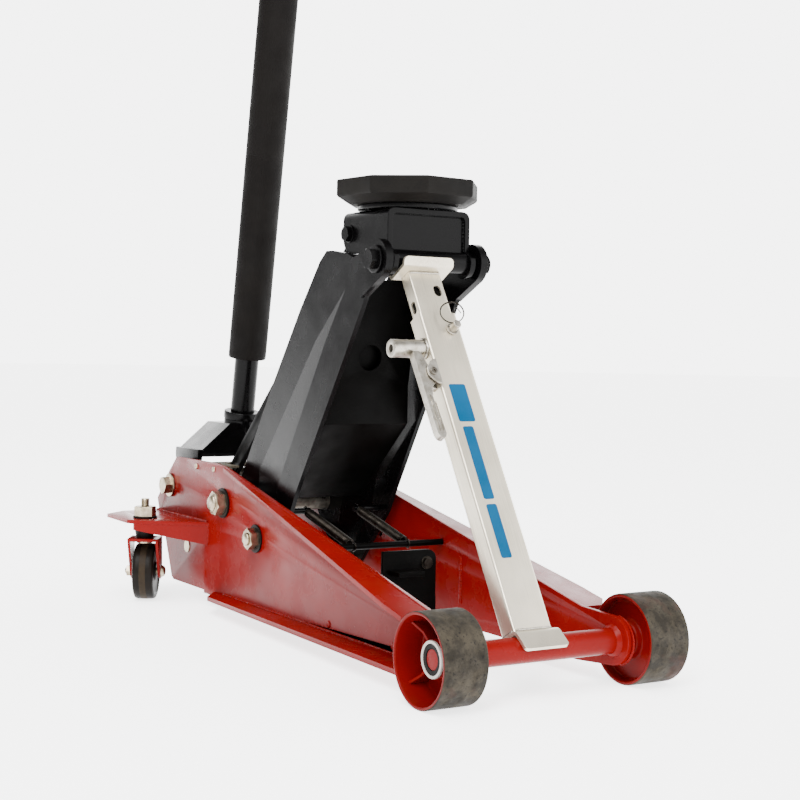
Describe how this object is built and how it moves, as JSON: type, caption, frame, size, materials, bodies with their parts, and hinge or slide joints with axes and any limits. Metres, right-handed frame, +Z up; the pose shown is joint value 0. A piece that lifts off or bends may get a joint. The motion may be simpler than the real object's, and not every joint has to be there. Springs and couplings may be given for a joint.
{
  "type": "car jack",
  "caption": "Hydraulic trolley jack with a raised lifting arm, a long handle, swivelling rear wheels and a telescopic safety rod propping the saddle.",
  "frame": {"origin": "on the floor, below the middle of the whole jack's box", "axes": "+X towards the lifting end, +Y towards the left side plate, +Z up"},
  "size_m": [0.895, 0.376, 1.1413],
  "materials": {
    "red_paint": "gloss",
    "black_paint": "gloss",
    "zinc": "zinc plated",
    "aluminium": "brushed",
    "rubber": "matte",
    "steel": "bare, satin",
    "tyre": "worn hard plastic tread"
  },
  "bodies": {
    "frame": {"side_plate_right": "red_paint", "side_plate_left": "red_paint", "caster_bracket_right": "red_paint", "caster_bracket_left": "red_paint", "caster_stud_right": "zinc", "caster_stud_left": "zinc", "front_wheel_collar_right": "zinc", "front_wheel_collar_left": "zinc", "tie_bolt_right": "zinc", "tie_bolt_left": "zinc", "yoke_bolt_right": "zinc", "yoke_bolt_left": "zinc", "front_axle": "red_paint", "axle_tube": "red_paint", "rear_cover": "steel", "cross_bracket": "black_paint", "spring_bar": "black_paint", "arm_shaft": "zinc", "link_pin": "steel", "pump_block": "black_paint", "hydraulic_cylinder": "black_paint"},
    "wheel_right": {"front_wheel_right": "red_paint"},
    "wheel_left": {"front_wheel_left": "red_paint"},
    "swivel_right": {"caster_fork_right": "red_paint", "caster_axle_right": "zinc"},
    "swivel_left": {"caster_fork_left": "red_paint", "caster_axle_left": "zinc"},
    "caster_right": {"caster_wheel_right": "tyre"},
    "caster_left": {"caster_wheel_left": "tyre"},
    "arm": {"lift_arm_right": "black_paint", "lift_arm_left": "black_paint", "arm_web": "black_paint", "ram_pin": "steel", "saddle_shaft": "black_paint"},
    "links": {"link_bar_right": "black_paint", "link_bar_left": "black_paint"},
    "ram": {"lifting_ram": "steel"},
    "springs": {"return_spring_right": "steel", "return_spring_left": "steel"},
    "saddle": {"saddle_bracket": "black_paint", "link_bolt": "black_paint"},
    "pad": {"saddle_plate": "black_paint", "saddle_pad": "rubber"},
    "yoke": {"handle_yoke": "black_paint", "pump_cam": "steel"},
    "plunger": {"pump_plunger": "steel"},
    "handle": {"handle_lower_tube": "black_paint", "handle_upper_tube": "black_paint", "handle_sleeve": "rubber", "handle_grip": "rubber"},
    "valve": {"release_valve": "zinc"},
    "rod": {"rod_outer_tube": "aluminium", "rod_foot": "aluminium", "lock_boss": "aluminium", "lever_bolt": "zinc"},
    "rod_inner": {"rod_inner_tube": "aluminium", "rod_cradle": "aluminium"},
    "lever": {"release_lever": "aluminium"},
    "lock_plunger": {"lock_plunger": "steel"},
    "lock_pin": {"lock_pin": "zinc"}
  },
  "joints": [
    {"name": "front_wheel_right_spin", "type": "hinge", "parent": "frame", "child": "wheel_right", "pos_m": [0.3975, -0.1315, 0.05], "axis": [0, 1, 0], "continuous": true},
    {"name": "caster_right_swivel", "type": "hinge", "parent": "frame", "child": "swivel_right", "pos_m": [-0.3455, -0.156, 0.09], "axis": [0, 0, 1], "continuous": true},
    {"name": "caster_right_spin", "type": "hinge", "parent": "swivel_right", "child": "caster_right", "pos_m": [-0.35922, -0.14776, 0.04], "axis": [-0.515, -0.8572, 0], "continuous": true},
    {"name": "front_wheel_left_spin", "type": "hinge", "parent": "frame", "child": "wheel_left", "pos_m": [0.3975, 0.1315, 0.05], "axis": [0, 1, 0], "continuous": true},
    {"name": "caster_left_swivel", "type": "hinge", "parent": "frame", "child": "swivel_left", "pos_m": [-0.3455, 0.156, 0.09], "axis": [0, 0, 1], "continuous": true},
    {"name": "caster_left_spin", "type": "hinge", "parent": "swivel_left", "child": "caster_left", "pos_m": [-0.35922, 0.14776, 0.04], "axis": [0.515, -0.8572, 0], "continuous": true},
    {"name": "lift", "type": "hinge", "parent": "frame", "child": "arm", "pos_m": [-0.2085, 0, 0.15], "axis": [0, -1, 0], "range_deg": [0, 8]},
    {"name": "saddle_level", "type": "hinge", "parent": "arm", "child": "saddle", "pos_m": [0.1505, 0, 0.468], "axis": [0, -1, 0], "range_deg": [-8.5, 0.5]},
    {"name": "link_swing", "type": "hinge", "parent": "frame", "child": "links", "pos_m": [-0.2965, 0, 0.185], "axis": [0, -1, 0], "range_deg": [-0.5, 8.5]},
    {"name": "ram_stroke", "type": "slide", "parent": "frame", "child": "ram", "axis": [1, 0, 0], "range_m": [-0.0005, 0.011]},
    {"name": "spring_swing", "type": "hinge", "parent": "frame", "child": "springs", "pos_m": [0.0525, 0, 0.118], "axis": [0, 1, 0], "range_deg": [-0.5, 7.5]},
    {"name": "saddle_turn", "type": "hinge", "parent": "saddle", "child": "pad", "pos_m": [0.1025, 0, 0.53], "axis": [0, 0, 1], "continuous": true},
    {"name": "handle_pump", "type": "hinge", "parent": "frame", "child": "yoke", "pos_m": [-0.3945, 0, 0.159], "axis": [0, -1, 0], "range_deg": [0, 65]},
    {"name": "pump_stroke", "type": "slide", "parent": "frame", "child": "plunger", "axis": [1, 0, 0], "range_m": [-0.0005, 0.0278]},
    {"name": "handle_twist", "type": "hinge", "parent": "yoke", "child": "handle", "pos_m": [-0.3595, 0, 0.262], "axis": [0.1685, 0, 0.9857], "range_deg": [0, 90]},
    {"name": "valve_turn", "type": "hinge", "parent": "frame", "child": "valve", "pos_m": [-0.3835, 0.021, 0.085], "axis": [1, 0, 0], "range_deg": [-1, 91]},
    {"name": "rod_tilt", "type": "hinge", "parent": "frame", "child": "rod", "pos_m": [0.3975, -0.012, 0.05], "axis": [0, 1, 0], "range_deg": [0, 4.2]},
    {"name": "rod_slide", "type": "slide", "parent": "rod", "child": "rod_inner", "axis": [-0.5083, 0, 0.8612], "range_m": [-0.0455, 0.0005]},
    {"name": "lever_squeeze", "type": "hinge", "parent": "rod", "child": "lever", "pos_m": [0.22443, -0.045, 0.33066], "axis": [0.8612, 0, 0.5083], "range_deg": [0, 7], "stiffness_Nm_per_rad": 0.3},
    {"name": "plunger_pull", "type": "slide", "parent": "rod", "child": "lock_plunger", "axis": [0, -1, 0], "range_m": [-0.0003, 0.0037]},
    {"name": "pin_pull", "type": "slide", "parent": "rod", "child": "lock_pin", "axis": [0.8612, 0, 0.5083], "range_m": [0, 0.02]}
  ],
  "couplings": [
    {"joint": "saddle_level", "follows": "lift", "ratio": -1},
    {"joint": "link_swing", "follows": "lift", "ratio": 1},
    {"joint": "ram_stroke", "follows": "lift", "m_per_rad": 0.073},
    {"joint": "spring_swing", "follows": "lift", "ratio": 0.887},
    {"joint": "pump_stroke", "follows": "handle_pump", "m_per_rad": 0.024},
    {"joint": "valve_turn", "follows": "handle_twist", "ratio": 1},
    {"joint": "rod_slide", "follows": "rod_tilt", "m_per_rad": -0.62},
    {"joint": "plunger_pull", "follows": "lever_squeeze", "m_per_rad": 0.028}
  ]
}
